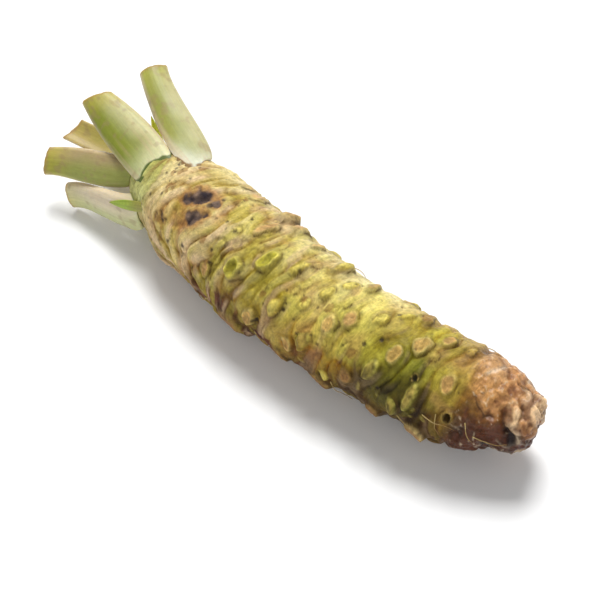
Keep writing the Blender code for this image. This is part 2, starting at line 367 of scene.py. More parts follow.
# %% The kinds of scar
# Rim, dish and dome are shares of the scar's height. Edge is how soft its side is, and skirt is
# how much of the height is a wide cushion under it. The two paints are of its face and its lip.
KINDS = {  # (rim, dish, dome, edge, skirt, face, lip)
    "ring": (0.38, 0.55, 0.0, 0.20, 0.25, (164, 158, 48), (206, 194, 92)),
    "cork": (0.22, 0.20, 0.1, 0.24, 0.35, (190, 152, 88), (204, 182, 110)),
    "pink": (0.14, 0.14, 0.1, 0.28, 0.4, (182, 140, 88), (188, 164, 92)),
    "brown": (0.10, 0.06, 0.15, 0.45, 0.5, (146, 108, 62), (150, 120, 66)),
    "stump": (0.10, 0.12, 0.25, 0.42, 0.35, (188, 148, 96), (206, 180, 116)),
    "knob": (0.0, 0.0, 0.6, 0.40, 0.4, (206, 190, 92), (184, 162, 66)),
    "bud": (0.1, 0.1, 0.8, 0.45, 0.4, (150, 132, 66), (168, 158, 74)),
    "wart": (0.0, 0.0, 0.5, 0.50, 0.5, (196, 180, 92), (158, 138, 58)),
    "hole": (0.45, 1.5, 0.0, 0.30, 0.4, (40, 28, 22), (178, 152, 78)),
    "swell": (0.0, 0.0, 0.3, 0.60, 0.5, None, None),
}
CRISP = ("ring", "cork", "pink", "hole")

# (distance, angle, half length round, half width along, tilt, height, kind), in mm and degrees.
SCARS = [
    (9, 203, 6.0, 6.0, 0, 0.9, "swell"), (20, 44, 3.4, 2.4, 10, 1.2, "stump"),
    (27, 48, 4.0, 3.2, 10, 1.4, "stump"), (41, 46, 4.4, 3.2, 0, 2.9, "stump"),
    (42, 83, 4.4, 2.0, 22, 1.2, "stump"), (49, 52, 3.6, 2.4, 20, 2.3, "stump"),
    (44, 135, 3.8, 2.9, 3, 1.7, "ring"), (52, 109, 4.1, 2.9, 16, 1.7, "ring"),
    (34, 157, 3.4, 2.2, 0, 1.1, "pink"), (29, 188, 3.4, 2.6, 0, 1.2, "brown"),
    (46, 203, 6.0, 5.4, 0, 2.5, "brown"), (55, 172, 3.6, 2.8, 8, 1.6, "cork"),
    (63, 142, 3.4, 2.2, 12, 1.7, "knob"), (62, 95, 3.6, 1.9, 24, 1.2, "knob"),
    (58, 52, 2.6, 1.8, 10, 1.4, "stump"), (67, 203, 3.4, 3.0, 0, 1.6, "brown"),
    (71, 58, 3.6, 2.4, 10, 1.9, "knob"), (71, 174, 2.8, 2.2, 0, 1.2, "cork"),
    (71, 121, 2.6, 1.5, 20, 0.8, "knob"), (76, 158, 3.2, 2.2, 8, 1.8, "bud"),
    (75, 97, 3.2, 1.7, 20, 1.1, "knob"), (79, 76, 2.8, 2.2, 10, 1.0, "knob"),
    (84.5, 60, 3.2, 2.0, 10, 1.8, "brown"), (82, 127, 3.2, 2.4, 0, 1.6, "cork"),
    (83, 204, 3.8, 4.0, 0, 2.0, "brown"), (87, 112, 2.8, 2.4, 5, 1.2, "pink"),
    (85, 185, 2.4, 1.9, 0, 1.2, "knob"), (93, 168, 3.2, 2.5, 6, 1.3, "brown"),
    (95, 93, 3.0, 2.0, 20, 1.1, "knob"), (100, 147, 3.6, 2.3, 14, 2.0, "bud"),
    (101, 72, 2.8, 2.0, 10, 1.1, "knob"), (103, 203, 3.6, 2.8, 0, 1.9, "brown"),
    (105, 121, 3.3, 2.3, 14, 1.6, "cork"), (106, 56, 3.4, 2.6, 0, 1.0, "brown"),
    (110, 172, 3.0, 2.2, 0, 1.9, "bud"), (111, 98, 3.2, 2.5, 4, 1.2, "cork"),
    (115, 150, 4.8, 2.3, 14, 2.0, "bud"), (117, 77, 2.8, 2.3, 10, 1.2, "pink"),
    (118, 203, 3.8, 3.2, 0, 2.5, "stump"), (124, 123, 3.5, 2.7, 8, 1.3, "pink"),
    (114, 131, 1.6, 1.2, 0, 0.4, "hole"), (127.5, 155, 2.3, 2.1, 0, 1.7, "hole"),
    (14, 345, 3.6, 2.4, 5, 1.3, "pink"), (29, 12, 3.6, 2.4, 8, 1.4, "cork"),
    (34, 320, 3.4, 2.4, 0, 1.4, "brown"), (50, 345, 3.4, 2.4, 8, 1.3, "ring"),
    (60, 20, 3.2, 2.4, 12, 1.3, "knob"), (66, 310, 3.4, 2.4, 5, 1.4, "cork"),
    (80, 0, 3.2, 2.4, 10, 1.4, "cork"), (94, 335, 3.4, 2.4, 6, 1.5, "pink"),
    (97, 25, 3.2, 2.2, 12, 1.2, "knob"), (112, 5, 3.4, 2.4, 8, 1.3, "cork"),
    (118, 335, 3.4, 2.6, 5, 1.4, "bud"), (62, 240, 3.2, 2.4, 0, 1.2, "pink"),
    (90, 235, 3.2, 2.4, 4, 1.3, "cork"), (16, 235, 3.4, 2.6, 0, 1.2, "pink"),
    (78, 270, 3.4, 2.6, 0, 1.0, "cork"),
    (28, 252, 4.6, 3.6, 0, 1.8, "brown"), (31, 287, 4.6, 3.6, 0, 1.8, "brown"),
    (121, 251, 5.0, 4.2, 0, 3.2, "brown"), (125, 288, 5.0, 4.2, 0, 3.2, "brown"),
]  # fmt: skip

# %% Small warts between them, sown at random and kept clear of the scars
WART_CLEARANCE = 5
MM_A_DEGREE = 0.3
sown = np.random.default_rng(12)
middles = np.array([scar[:2] for scar in SCARS])
WARTS = []
for _ in range(150):
    along, degrees = sown.uniform(22, 126), sown.uniform(0, 360)
    turned = (degrees - middles[:, 1] + 180) % 360 - 180
    if np.hypot(along - middles[:, 0], MM_A_DEGREE * turned).min() > WART_CLEARANCE:
        half_round, half_along = sown.uniform(1.1, 2.1), sown.uniform(0.8, 1.4)
        WARTS.append((along, degrees, half_round, half_along, 15, sown.uniform(0.35, 0.75), "wart"))
print(len(SCARS), "scars, knobs and buds, and", len(WARTS), "warts")


# %% The height of a scar
def scar_height(away, rim, dish, domed, edge, skirt):
    """A plateau on a wide cushion, with a rim near the edge, a dish inside it or a dome over it."""
    plateau = 1 - smooth_step(1 - edge, 1 + edge, away)
    cushion = (1 - smooth_step(0.6, 2.1, away)) ** 1.5
    rim = rim * band(0.80, 0.17, away)
    dish = dish * (1 - smooth_step(0.0, 0.72, away))
    domed = domed * np.clip(1 - away**2, 0, 1)
    return mix(plateau, cushion, skirt) + plateau * domed + rim - dish


# %% [markdown]
# ## The folds of skin
#
# Between the scars the skin lies in folds that run round the root, a few millimetres apart. They
# part before each scar and meet again behind it. A fold's place is a number that grows along the
# root, and near a scar that number is held back towards the scar's own, which spreads the folds
# apart there, as grain spreads round a knot.

# %% The place of the folds
NEAR_SIDE = 122
SLANT = 0.20


def fold_place():
    """Distance along in mm, slanted by a share of the distance round, and held back at scars.

    On the lower side near the neck the folds turn and run down the root.
    """
    turn = turn_from(theta, NEAR_SIDE)
    running = 1.5 * np.maximum(turn - 0.45, 0) ** 2 * (1 - smooth_step(0.018, 0.055, s))
    place = (s + (SLANT * turn - running) * radius) / MM
    place = place + 2.6 * uneven(16, 11) + 1.2 * uneven(7, 12)
    for scar in SCARS:
        across, away = place_in(scar)
        place = place - 0.85 * across * np.exp(-((away / 1.6) ** 2))
    return place


place = fold_place()


def along_folds(width, length, seed, place=place):
    """Unevenness stretched along the folds: one cell is this wide and this long, in mm."""
    return unevenness(np.concatenate([place[..., None] / width, around / length], -1), 1.0, seed)


# %% The height of the folds, in mm
def strands(*cell):
    """Rounded strands with sharp creases between: a power of the size of an unevenness."""
    return np.clip(np.abs(along_folds(*cell)) / 0.5, 0, 1) ** 0.75


broad = (0.75 + 0.5 * uneven(12, 13)) * strands(4.2, 12.0, 61)
middling = strands(2.4, 8.0, 62, place + 1.1)
plain_folds = 1.45 * broad + 0.60 * middling + 0.16 * strands(1.2, 5.0, 63)
print("the folds are up to", round(float(plain_folds.max()), 2), "mm high")

# %% [markdown]
# ## The broken end
#
# The oldest end is where the rhizome rotted or snapped from the last one. It is a fist of glossy
# brown lumps that run into each other, with clefts between some of them. Each lump is a soft
# mound with a wandering outline. Where two overlap they are blended, so they read as one swollen
# tissue and not as pebbles. Two pale ones are curled like lips round a furrow.

# %% The lumps
END_RADIUS = 0.014
CREAM, AMBER, RUST = (255, 222, 176), (198, 142, 92), (78, 34, 20)
# (distance, angle, half length round, half width along, tilt, height in mm, colour)
LUMPS = [
    (134, 74, 7.0, 5.2, 24, 1.9, (208, 160, 112)), (140, 52, 5.4, 4.6, 0, 1.8, AMBER),
    (141.5, 92, 4.6, 4.0, 0, 1.0, AMBER), (148, 40, 4.0, 3.4, 0, 0.5, AMBER),
    (151, 70, 3.4, 2.0, 0, 2.0, CREAM),
    (145.5, 130, 5.4, 1.9, -30, 2.2, CREAM), (149, 106, 6.8, 2.6, -26, 2.4, CREAM),
    (150, 144, 4.0, 2.6, -20, 1.8, AMBER), (140, 156, 4.8, 4.4, 0, 1.8, RUST),
    (138, 120, 6.4, 4.6, 10, 1.0, AMBER), (133, 143, 5.4, 4.8, 0, 0.8, RUST),
    (131, 104, 5.0, 5.0, 0, 0.6, AMBER), (146, 190, 5.0, 4.2, 0, 1.4, RUST),
    (138, 184, 5.6, 5.2, 0, 1.4, RUST), (131, 207, 5.6, 6.2, 0, 1.8, RUST),
    (132, 10, 5.8, 5.2, 0, 1.6, AMBER), (143, 15, 5.0, 4.4, 0, 1.3, RUST),
    (134, 330, 5.6, 5.2, 0, 1.4, RUST), (144, 330, 5.0, 4.2, 0, 1.2, AMBER),
    (136, 290, 5.4, 5.0, 0, 1.0, RUST), (145, 285, 5.0, 4.0, 0, 1.2, AMBER),
    (137, 250, 5.6, 5.0, 0, 1.2, RUST), (146, 240, 5.0, 4.0, 0, 1.3, AMBER),
    (150, 0, 4.6, 2.8, 0, 0.9, AMBER), (150, 240, 4.6, 2.8, 0, 0.9, RUST),
]  # fmt: skip
CURLED_BEYOND = -18


def lumps_at():
    """Mounds blended by how strongly each is felt, their colour, and how deep the clefts are.

    Each mound is a bell curve of its share of the oval. The two strongest at a point are told
    apart, and a cleft lies where they are felt alike.
    """
    down, over = (MM * (1.8 * uneven(5, seed) + 0.9 * uneven(2, seed + 2)) for seed in (81, 85))
    first, second, height = (np.zeros_like(s) for _ in range(3))
    colour = np.zeros((*s.shape, 3))
    total = np.full_like(s, 0.02)
    for *oval, rise, shade in LUMPS:
        _, away = place_in(oval, down, over / END_RADIUS)
        felt = np.exp(-1.6 * away**2.4)
        second = np.maximum(second, np.minimum(first, felt))
        first = np.maximum(first, felt)
        weight = felt**1.6
        furrow = 0.55 * band(0.0, 0.34, away) if oval[4] < CURLED_BEYOND else 0
        height += weight * rise * felt**0.5 * (1 - furrow)
        colour += weight[..., None] * paint(*shade)
        total += weight
    cleft = (1 - smooth_step(0.0, 0.30, first - second)) * smooth_step(0.1, 0.6, uneven(6, 90))
    cleft = np.maximum(cleft, 0.8 * (1 - smooth_step(0.02, 0.25, first)))
    return height / total, colour / total[..., None], cleft


lump_height, lump_colour, cleft = lumps_at()
print(len(LUMPS), "lumps at the broken end")

# %% Wrinkles, a tear, rotted hollows and threads of dried film at that end
TORN_LUMP = (134, 76, 8.0, 6.0, 24)
HOLLOWS = [(146.5, 166, 3.6, 2.2, -20), (139.5, 190, 2.6, 1.6, 0), (147, 262, 3.0, 2.0, 0)]
across, away = place_in(TORN_LUMP)
wrinkle = np.abs(uneven(3.5, 45)) + 0.5 * np.abs(uneven(1.7, 49))
wrinkle = wrinkle * (1 - 0.45 * band(0, 1.0, away))
tear = band(0.4, 0.42, across + 1.4 * uneven(4.5, 95)) * (1 - smooth_step(0.35, 0.8, away))
hollow = inside(HOLLOWS, 0.5, 1.1, 0.5 * uneven(2, 99))
film = band(0.0, 0.13, uneven(4.2, 91)) * smooth_step(-0.1, 0.3, uneven(8, 92))

# %% [markdown]
# ## Spots and blemishes
#
# Fine roots once grew from pores all over the skin. Each left a dark speck in a small raised
# ring. Brown stains show where the skin was torn or rubbed. Near the crown there is also an old
# wound, healed black with a rusty border.

# %% Pores: (distance, angle, size in mm)
PORES = [
    (22, 103, 1.3), (23, 88, 0.8), (36.5, 85, 0.8), (28, 80, 0.5), (36, 106, 0.8), (23, 152, 0.9),
    (16, 162, 0.7), (33.5, 135, 0.8), (-1, 140, 0.8), (-2, 108, 0.7), (4, 128, 0.8), (9, 145, 1.0),
    (95, 126, 0.9), (99, 113, 0.9), (89, 138, 0.6), (81, 152, 0.6), (98.5, 76, 0.9), (58, 170, 1.1),
    (31, 103, 0.7), (35, 147, 0.6), (99, 158, 0.8), (104, 164, 0.9), (63, 99, 0.7), (66, 140, 0.8),
    (-1, 96, 0.8), (-2, 90, 0.7), (0.5, 101, 0.6), (-2.5, 86, 0.6), (1, 92, 0.5), (-3, 160, 0.6),
    (-2, 165, 0.7), (-3.5, 152, 0.5), (8, 143, 0.7), (10, 149, 0.9), (11.5, 145, 0.6),
    (7, 148, 0.5),
]  # fmt: skip
loose = np.random.default_rng(7)
SCATTER = [
    (loose.uniform(-2, 128), loose.uniform(0, 360), loose.uniform(0.25, 0.6)) for _ in range(230)
]


def pores_at():
    """(dark, raised): a speck in the middle of each pore, and the low ring round it."""
    dark, raised = np.zeros_like(s), np.zeros_like(s)
    for along, degrees, size in PORES + SCATTER:
        over = turn_from(theta, degrees) * radius / MM
        away = np.hypot(s / MM - along, over) / size
        dark = np.maximum(dark, (1 - smooth_step(0.55, 1.1, away)) * min(1, 0.45 + 0.6 * size))
        raised = np.maximum(raised, band(1.3, 0.6, away) * size)
    return dark, raised


dark_pore, pore_ring = pores_at()
print(len(PORES) + len(SCATTER), "pores")

# %% Stains and the old wound: (distance, angle, half length round, half width along, tilt)
STAINS = [
    (9, 146, 4.2, 3.0, 20), (1, 99, 3.4, 1.8, 10), (4.5, 116, 2.8, 1.6, 25), (34, 147, 2.8, 1.8, 0),
    (6, 75, 3.0, 1.8, 20), (29, 133, 2.4, 1.4, 10), (12, 170, 3.0, 2.0, 0), (70, 121, 2.6, 1.2, 10),
    (26, 72, 2.8, 1.6, 15), (93, 140, 2.4, 1.4, 10), (57, 140, 2.2, 1.2, 10),
    (79, 110, 2.4, 1.2, 20), (15, 20, 3.6, 2.4, 10), (40, 0, 3.4, 2.0, 0), (55, 320, 3.8, 2.4, 20),
    (88, 350, 3.4, 2.2, 0), (72, 280, 4.0, 2.4, 0), (104, 40, 3.0, 1.8, 10),
    (110, 300, 4.0, 2.4, 0), (24, 260, 4.0, 2.6, 10),
]  # fmt: skip
WOUND = [(16.1, 105, 4.6, 3.9, 30), (20.5, 123, 4.6, 3.4, 14), (23.3, 98, 1.9, 1.6, 0)]
stain = inside(STAINS, 0.55, 0.95, 0.75 * uneven(1.5, 96) + 0.45 * uneven(3.4, 97))
ragged = 0.45 * uneven(2.2, 21) + 0.3 * uneven(4.5, 22) + 0.2 * uneven(1.1, 23)
wound = inside(WOUND, 0.75, 1.10, ragged)
wound_border = inside(WOUND, 1.0, 1.9, ragged)
print(len(STAINS), "stains, and a wound of", len(WOUND), "ovals")

# %% [markdown]
# ## The relief
#
# The whole relief is one height over the plain outline: slow lumps, folds, scars, pores, then the
# broken end. The green neck has fine rings and two low steps, where the bases of the last leaves
# came away. The heights are kept in millimetres, because that is how a maker would say them.

# %% Which part of the root a point is on
body = smooth_step(-0.004, 0.010, s)
old_end = smooth_step(0.125, 0.133, s + 0.003 * uneven(8, 31))
smoother = smooth_step(0.030, 0.085, s + 0.006 * uneven(10, 71))


# %% Slow lumps, as in the CAD model
def slow_lumps():
    """A few long waves along the root and round it."""
    turns = 2 * math.pi * s
    return 0.3 * (
        0.40 * np.sin(turns / 0.047 + theta)
        + 0.30 * np.sin(turns / 0.031 - 2 * theta + 1.3)
        + 0.30 * np.sin(turns / 0.021 + 3 * theta + 4.0)
    )


# %% Scars on top of the folds
# Each has a ledge on its older side, a crease round it painted dark as shadow, heaviest on that
# older side, and faint rings where it healed.
BODY_RADIUS = 0.017
scar_rise, scar_cover, scar_rough, scar_show, crease_shadow = (np.zeros_like(s) for _ in range(5))
scar_colour = np.zeros((*s.shape, 3))
wander = MM * np.stack([uneven(4.5, 46), uneven(4.5, 47) / BODY_RADIUS])
uneven_edge = 1 + 0.20 * uneven(2, 41) + 0.18 * uneven(4.5, 42)
healed_rings = 3 * uneven(1.6, 78)
for *oval, height, name in SCARS + WARTS:
    *shape, face, lip = KINDS[name]
    across, away = place_in(oval, *((0.4 if name in CRISP else 0.9) * wander))
    away = away * uneven_edge
    ledge = 1 + min(0.35, 0.55 / height) * np.clip(across / oval[3], -1, 1)
    rise = 1.1 * height * ledge * scar_height(away, *shape)
    if face is not None:
        cover = 1 - smooth_step(0.82, 1.15, away)
        colour = mix(paint(*face), paint(*lip), smooth_step(0.62, 0.84, away))
        colour = colour * (1 + 0.16 * np.sin(13 * away + healed_rings))[..., None]
        scar_colour = mix(scar_colour, colour, cover * (rise >= scar_rise))
        ring = np.maximum(band(1.17, 0.20, away), 0.4 * band(1.35, 0.50, away))
        crease_shadow = np.maximum(crease_shadow, ring * (0.25 + 0.75 * smooth_step(-1, 2, across)))
        scar_cover = np.maximum(scar_cover, cover)
        scar_show = np.maximum(scar_show, cover * (0.28 if name == "wart" else 0.78))
        scar_rough = np.maximum(scar_rough, cover * (0.95 if name == "bud" else 0.22))
    scar_rise = np.where(away < 2.2, np.maximum(scar_rise, rise), scar_rise)
crease_shadow = crease_shadow * (1 - scar_cover)
print("highest scar:", round(float(scar_rise.max()), 2), "mm")

# %% The relief of the body
folds = plain_folds * smooth_step(-0.003, 0.006, s) * (1 - 0.85 * old_end) * (1 - 0.3 * smoother)
relief = slow_lumps() + folds * (1 - 0.8 * scar_cover) + scar_rise - 0.40 * crease_shadow - 0.3
relief = relief + scar_rough * (uneven(1.3, 48) + 0.5 * uneven(2.2, 79))
relief = relief + 0.10 * pore_ring - 0.22 * dark_pore + 0.35 * stain * uneven(1.4, 98)
relief = relief + wound * (0.18 * uneven(1.8, 43) - 0.35) + 0.12 * uneven(2.5, 44) * body

# %% The relief of the broken end and the neck, and the finished points
end_relief = 1.2 * lump_height - 0.5 * cleft - 1.2 * wrinkle + 0.35 * film - 0.5 * tear
relief = relief + old_end * (end_relief - 0.9 * hollow)
neck_rings = np.abs(along_folds(1.5, 9, 80, s / MM)) * smooth_step(-0.017, -0.010, s) * (1 - body)
ring_place = s / MM + 1.2 * uneven(6, 61)
steps = band(-6.8, 0.40, ring_place) + band(-11.5, 0.45, ring_place + 2 * np.sin(theta))
steps = steps * (1 - body)
lift = MM * (relief * body - 0.7 * neck_rings - 0.35 * steps)
skin_s = s - lift * tangent[:, 1:2]
skin_radius = np.maximum(radius + lift * tangent[:, 0:1], 0)
skin_points = on_skin(skin_s, theta, skin_radius)
print("relief runs from", relief.min().round(2), "to", relief.max().round(2), "mm")

# %% [markdown]
# ## The rhizome's colours
#
# The colour changes along the root: pale green at the neck where stalks have just gone, cream and
# tan below the crown, yellow-green in the middle, deep green where light reached it in the water,
# and brown at the old end and underneath. Each zone is a paint, and the zones meet along uneven
# lines. The paints along the top are paler, partly as a painted highlight, and those low on the
# near side and underneath are darker, partly as painted shade. Folds get painted shade in their
# creases and a painted highlight on their crests.

# %% Zones
ZONE_ANGLES = [-25, 45, 85, 125, 166, 192, 270, 335]
# At each distance in mm: the paints at those angles. The last angle is the first one again.
# Along the top (45 and 85 degrees) the paints are paler, partly a painted highlight. On the near
# side and underneath (166 to 270 degrees) they are darker, partly painted shade over real brown.
ZONES = {
    -12: [(176, 176, 88)] * 7,
    -1: [(190, 178, 96), (204, 184, 122), (192, 166, 106), (188, 168, 106), (176, 168, 98),
         (160, 140, 76), (150, 124, 66)],
    3: [(190, 166, 98), (206, 180, 120), (190, 164, 102), (196, 168, 106), (204, 178, 114),
         (150, 118, 64), (132, 96, 52)],
    14: [(196, 170, 100), (224, 202, 150), (204, 180, 116), (208, 180, 106), (200, 170, 94),
         (142, 104, 54), (122, 84, 42)],
    30: [(190, 164, 90), (222, 202, 144), (190, 164, 92), (152, 120, 52), (168, 132, 60),
         (106, 54, 32), (98, 56, 34)],
    48: [(182, 158, 76), (214, 194, 130), (190, 170, 82), (152, 132, 36), (156, 124, 42),
         (98, 48, 28), (94, 54, 30)],
    65: [(180, 156, 72), (222, 204, 148), (206, 188, 104), (172, 152, 44), (148, 104, 10),
         (98, 50, 28), (94, 54, 30)],
    80: [(176, 152, 70), (236, 220, 170), (226, 208, 130), (216, 198, 100), (174, 110, 6),
         (102, 64, 20), (96, 62, 22)],
    92: [(168, 142, 62), (230, 210, 156), (218, 198, 112), (190, 174, 62), (90, 72, 2),
         (88, 60, 16), (92, 60, 20)],
    103: [(156, 130, 54), (206, 178, 108), (172, 150, 60), (120, 108, 8), (42, 36, 0),
         (72, 48, 12), (90, 58, 20)],
    116: [(146, 114, 48), (184, 152, 54), (156, 134, 34), (98, 96, 0), (34, 22, 0), (74, 48, 14),
         (92, 58, 22)],
    128: [(140, 100, 50), (166, 124, 62), (158, 122, 54), (178, 142, 46), (104, 66, 16),
         (86, 54, 20), (88, 54, 24)],
    152: [(130, 88, 50), (176, 128, 80), (190, 140, 92), (172, 114, 64), (82, 38, 16),
         (66, 32, 16), (96, 58, 34)],
}  # fmt: skip


def zone_colour(along, angle):
    """The paint at a distance in mm and an angle in degrees, blended between the nearest four."""
    stations = np.array(list(ZONES), float)
    paints = np.array([[paint(*one) for one in [*row, row[0]]] for row in ZONES.values()])
    row = np.interp(along, stations, np.arange(len(stations)))
    column = np.interp((angle + 25) % 360 - 25, ZONE_ANGLES, np.arange(len(ZONE_ANGLES)))
    i = np.minimum(row.astype(int), len(stations) - 2)
    j = np.minimum(column.astype(int), len(ZONE_ANGLES) - 2)
    over = smooth_step(0, 1, column - j)
    younger, older = (mix(paints[k, j], paints[k, j + 1], over) for k in (i, i + 1))
    return mix(younger, older, row - i)


drift = 4 * uneven(12, 51) + 2 * uneven(5, 52)
tilt = 12 * uneven(10, 54) + 6 * uneven(4, 53)
skin = zone_colour(s / MM + drift, angle + tilt)

# %% The green neck, and the torn line where it ends
# At each angle in degrees: where the neck ends, in mm from the collar.
NECK_ANGLES = [0, 30, 55, 85, 105, 125, 158, 172, 260, 360]
NECK_ENDS = [-2, -6, -9, -9, -5.5, -2.5, -3.5, -4.5, -3, -2]
neck_end = np.interp(angle, NECK_ANGLES, NECK_ENDS)
past_neck = s / MM - neck_end + 0.8 * uneven(3, 58) + 0.5 * uneven(1.2, 59)
fresh = 1 - smooth_step(-0.4, 0.5, past_neck)
# Paler green round 158 degrees, on the near side, is partly a painted highlight.
skin = mix(skin, mix(paint(168, 162, 82), paint(200, 200, 128), band(158, 38, angle)), 0.8 * fresh)
bases = unevenness(np.stack([s / MM / 1.6, 0.8 * np.cos(theta), 0.8 * np.sin(theta)], -1), 1.0, 77)
skin = skin * (1 + (0.22 * fresh * bases)[..., None] * np.array([0.8, 1.0, 1.4]))
skin = layered(
    skin,
    ((150, 122, 72), 0.6 * fresh * smooth_step(0.2, 0.6, -bases)),
    ((126, 112, 54), 0.55 * steps * np.clip(0.7 + uneven(3, 101), 0, 1)),
    ((128, 92, 46), 0.75 * band(0.7, 0.8, past_neck) * smooth_step(-0.2, 0.4, uneven(4, 60))),
)

# %% Folds: painted shade between, a painted highlight on top, and tinted in streaks along them
crest = np.clip(plain_folds / 1.65, 0, 1)
valley_shade_amount = body * (1 - old_end) * (1 - 0.15 * smoother)
# Painted shade: the creases between the folds are darkened by a brownish share of the skin.
valley_shade = mix(np.array([0.44, 0.32, 0.16]), np.array([0.50, 0.44, 0.20]), smoother)
skin = mix(skin, skin * valley_shade, 0.95 * (1 - smooth_step(0.18, 0.72, crest)) * valley_shade_amount)
# Painted highlight: the crests are paled towards the sunlit paint where the skin is bright.
lit = smooth_step(0.02, 0.16, skin[..., 1])
sunlit = mix(paint(240, 226, 170), paint(196, 200, 92), smoother)
pale = mix(skin, sunlit, (0.42 - 0.20 * smoother) * lit)
skin = mix(skin, pale, 0.9 * smooth_step(0.45, 0.95, crest) * (1 - fresh) * (1 - old_end))
streak = along_folds(1.0, 5.0, 64)
tint = along_folds(2.4, 9.0, 74)
skin = skin * (1 + 0.17 * streak[..., None] * np.array([0.9, 1.0, 1.3]))
skin = skin * (1 + 0.30 * (smoother * (1 - old_end) * tint)[..., None] * np.array([0.9, 1.0, 1.5]))
skin = skin * (1 + 0.10 * uneven(0.9, 75) + 0.08 * uneven(2, 76))[..., None]
young = body * (1 - fresh) * (1 - 0.75 * smoother) * (1 - old_end)
greener = 0.55 * young * (0.45 + 0.55 * smooth_step(0.010, 0.040, s))
patch = smooth_step(0.15, 0.75, uneven(6, 55)) * smooth_step(0.0, 0.01, s)
skin = layered(
    skin,
    ((194, 182, 74), greener * smooth_step(0.05, 0.4, tint)),
    ((224, 194, 152), 0.60 * young * smooth_step(0.05, 0.4, -tint)),
    ((178, 132, 84), 0.45 * patch * lit),
)

# %% Scars, and painted shadow in their creases
speckle = 1 + (0.20 + 0.7 * scar_rough) * uneven(1.1, 68) + 0.16 * uneven(3, 69)
skin = mix(skin, scar_colour * speckle[..., None], scar_show)
# Painted shadow in the creases round the scars.
skin = layered(skin, ((78, 58, 18), 0.95 * crease_shadow * np.clip(0.75 + uneven(3, 70), 0, 1)))

# %% The broken end: painted shade and highlight, grit, the tear and the film
# Painted shade lies in the wrinkles and a painted highlight on their crests; the grit is dark, and
# the tear and the film are pale.
veined = 0.5 + 0.5 * uneven(3, 65) + 0.4 * uneven(1.3, 66)
rotten = mix(lump_colour, skin, 0.30) * (0.78 + 0.45 * np.clip(veined, 0, 1.2))[..., None]
rotten = layered(
    rotten,
    # Painted shade in the wrinkles, then a painted highlight along their crests.
    ((96, 52, 32), 0.8 * smooth_step(0.40, 0.90, wrinkle)),
    ((246, 224, 188), 0.55 * (1 - smooth_step(0.03, 0.14, wrinkle))),
    ((92, 44, 32), 0.40 * smooth_step(0.25, 0.6, uneven(1.2, 93) + 0.3 * uneven(6, 94))),
    ((240, 222, 190), 0.55 * film * (1 - 0.6 * band(170, 40, angle))),
    ((250, 234, 208), 0.5 * tear),
)
skin = mix(skin, rotten, old_end * (0.9 - 0.3 * scar_cover))

# %% Painted shade in the clefts, then stains, black patches, the wound and the pores
black = smooth_step(0.2, 0.6, uneven(5, 67)) * band(195, 32, angle) * smooth_step(136, 144, s / MM)
scab = 0.5 + 0.5 * uneven(1.6, 56) + 0.35 * uneven(4, 57)
scab = mix(paint(40, 32, 38), paint(136, 112, 94), np.clip(scab, 0, 1) ** 1.5)
skin = layered(
    skin,
    # Painted shade in the clefts between the lumps.
    ((60, 36, 22), 0.75 * old_end * cleft),
    ((136, 94, 48), 0.62 * stain),
    ((30, 22, 22), 0.9 * np.maximum(black, hollow * old_end)),
    ((164, 116, 66), 0.8 * wound_border),
)
skin = layered(mix(skin, scab, wound), ((46, 34, 28), 0.85 * dark_pore))
skin = np.clip(skin, 0.002, 0.95)
gloss = np.clip(0.25 + 0.55 * old_end - 0.25 * wound - 0.15 * scar_cover, 0, 1)
grain = np.concatenate([place[..., None], around], -1)
print("the skin's mean colour as light:", skin.mean((0, 1)).round(3))

# %% The piece
rhizome = make_piece("rhizome_skin", skin_points, skin=skin, gloss=gloss, grain=grain)
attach(rhizome, "root")
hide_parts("rhizome")

# %% [markdown]
# ## Rootlets
#
# A washed root keeps a few fine roots and hairs of torn skin, thin as thread and pale as straw.
# Each is a thin tube along a bent line that starts in the skin and lies close over it. They could
# be drawn with a curve and a bevel, but as a grid they share the other pieces' colours.

# %% Rootlets
# (distance, angle) of the root end, (distance, angle) of the tip, and the rise at the middle, in mm
ROOTLETS = [
    ((120, 166), (131, 172), 0.8), ((124, 158), (126, 186), 0.9), ((133, 155), (137, 188), 1.0),
    ((112, 184), (121, 196), 0.9), ((88, 190), (94, 204), 1.0), ((58, 186), (66, 196), 0.8),
    ((37, 190), (31, 204), 0.9), ((136, 172), (146, 176), 0.8), ((70, 30), (76, 12), 0.9),
    ((104, 330), (112, 316), 1.0), ((48, 310), (40, 298), 0.9), ((126, 20), (133, 2), 1.0),
    ((20, 300), (12, 312), 0.8), ((96, 250), (88, 236), 0.8),
]  # fmt: skip
ROOTLET_RADIUS = 0.15
SKIN_RISE = 1.2


